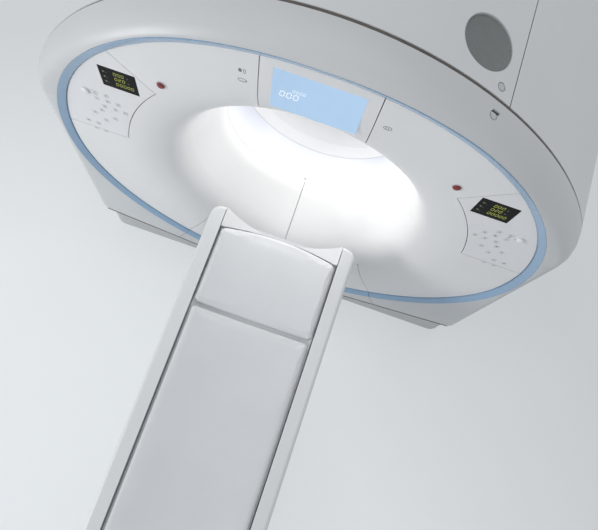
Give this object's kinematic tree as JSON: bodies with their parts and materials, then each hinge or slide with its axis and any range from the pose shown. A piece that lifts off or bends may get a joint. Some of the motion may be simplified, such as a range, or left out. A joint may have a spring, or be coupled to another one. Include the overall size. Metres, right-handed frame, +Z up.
{
  "type": "ct scanner",
  "caption": "CT scanner: ring gantry with flared bore, blue ring trim and controls, and a lifting patient couch whose cradle slides into the bore.",
  "frame": {"origin": "on the floor, under the middle of the bore in the scan plane, at the centre of the gantry's anchor holes", "axes": "+X to the right for someone at the couch's foot end, +Y into the bore from the couch, +Z up"},
  "size_m": [1.95, 3.343, 1.81],
  "materials": {
    "cover_white": "satin moulded cover",
    "fascia_white": "satin moulded cover",
    "plinth_grey": "powder coat",
    "tray_white": "satin moulded tray",
    "panel_grey": "satin moulded panel",
    "ring_blue": "satin blue trim",
    "groove_grey": "dark soft seal",
    "cap_grey": "moulded cap",
    "vent_grey": "dark moulded grille",
    "screen_blue": "lit display behind glass",
    "display_black": "black display glass",
    "key_grey": "membrane keys",
    "collar_grey": "moulded collar",
    "stop_red": "red moulded button",
    "window_film": "thin translucent film ring",
    "liner_white": "moulded liner",
    "frame_paint": "painted steel",
    "frame_cast": "painted casting",
    "steel": "ground steel",
    "brush_black": "moulded block",
    "rotor_alu": "machined casting",
    "slip_ring_black": "cast resin disc",
    "tube_housing": "cast housing",
    "collimator_grey": "painted",
    "detector_grey": "machined",
    "tank_paint": "painted tank",
    "cooler_alu": "finned",
    "motor_black": "painted",
    "belt_rubber": "matt",
    "couch_white": "satin moulded cover",
    "strip_plastic": "sliding strip",
    "cradle_white": "satin shell",
    "mat_vinyl": "wipe-clean vinyl over foam",
    "column_white": "powder coat",
    "duct_grey": "moulded duct"
  },
  "bodies": {
    "gantry": {"front_shell": "cover_white", "front_apron": "cover_white", "top_cover": "cover_white", "side_cover_left": "cover_white", "side_cover_right": "cover_white", "rear_shell": "cover_white", "rear_fascia": "fascia_white", "fascia_left": "fascia_white", "fascia_right": "fascia_white", "display_panel": "fascia_white", "lower_cover": "fascia_white", "control_panel_left": "panel_grey", "control_panel_right": "panel_grey", "ring_trim_upper": "ring_blue", "ring_trim_lower": "ring_blue", "groove_strip": "groove_grey", "cover_caps": "cap_grey", "vent_grilles": "vent_grey", "plinth_front": "plinth_grey", "plinth_rear": "plinth_grey", "display_screen": "screen_blue", "panel_displays": "display_black", "keypads": "key_grey", "stop_button_collars": "collar_grey", "scan_window": "window_film", "bore_liner": "liner_white", "base_frame": "frame_paint", "gantry_frame": "frame_cast", "levelling_screws": "steel", "brush_block": "brush_black", "drive_motor": "motor_black", "drive_belt": "belt_rubber", "couch_base_plate": "frame_paint", "couch_base_housing": "column_white", "ram_cylinders": "frame_paint", "floor_duct": "duct_grey"},
    "rotor": {"rotor_drum": "rotor_alu", "slip_ring": "slip_ring_black", "xray_tube": "tube_housing", "collimator": "collimator_grey", "detector": "detector_grey", "generator_tank": "tank_paint", "tube_cooler": "cooler_alu"},
    "pulley": {"motor_pulley": "steel"},
    "stop_left": {"stop_button_left": "stop_red"},
    "stop_right": {"stop_button_right": "stop_red"},
    "couch_middle": {"column_middle": "column_white", "ram_middle_tubes": "steel"},
    "couch_upper": {"couch_frame": "tray_white", "side_rail_left": "couch_white", "side_rail_right": "couch_white", "slide_strips": "strip_plastic", "couch_foot_cover": "couch_white", "column_upper": "column_white", "ram_rods": "steel"},
    "cradle": {"cradle": "cradle_white", "head_mat": "mat_vinyl", "long_mat": "mat_vinyl"}
  },
  "joints": [
    {"name": "rotor_spin", "type": "hinge", "parent": "gantry", "child": "rotor", "pos_m": [0, 0, 0.945], "axis": [0, 1, 0], "continuous": true},
    {"name": "pulley_spin", "type": "hinge", "parent": "gantry", "child": "pulley", "pos_m": [0.64, 0, 0.285], "axis": [0, 1, 0], "continuous": true},
    {"name": "stop_button_left", "type": "slide", "parent": "gantry", "child": "stop_left", "axis": [0, 1, 0], "range_m": [0, 0.004], "stiffness_N_per_m": 2500, "springref_m": -0.001},
    {"name": "stop_button_right", "type": "slide", "parent": "gantry", "child": "stop_right", "axis": [0, 1, 0], "range_m": [0, 0.004], "stiffness_N_per_m": 2500, "springref_m": -0.001},
    {"name": "couch_lift", "type": "slide", "parent": "gantry", "child": "couch_upper", "axis": [0, 0, 1], "range_m": [-0.35, 0.05]},
    {"name": "couch_middle_slide", "type": "slide", "parent": "gantry", "child": "couch_middle", "axis": [0, 0, 1], "range_m": [-0.175, 0.025]},
    {"name": "cradle_slide", "type": "slide", "parent": "couch_upper", "child": "cradle", "axis": [0, 1, 0], "range_m": [0, 1.6]}
  ],
  "couplings": [
    {"joint": "pulley_spin", "follows": "rotor_spin", "ratio": 15.8},
    {"joint": "couch_middle_slide", "follows": "couch_lift", "ratio": 0.5}
  ]
}
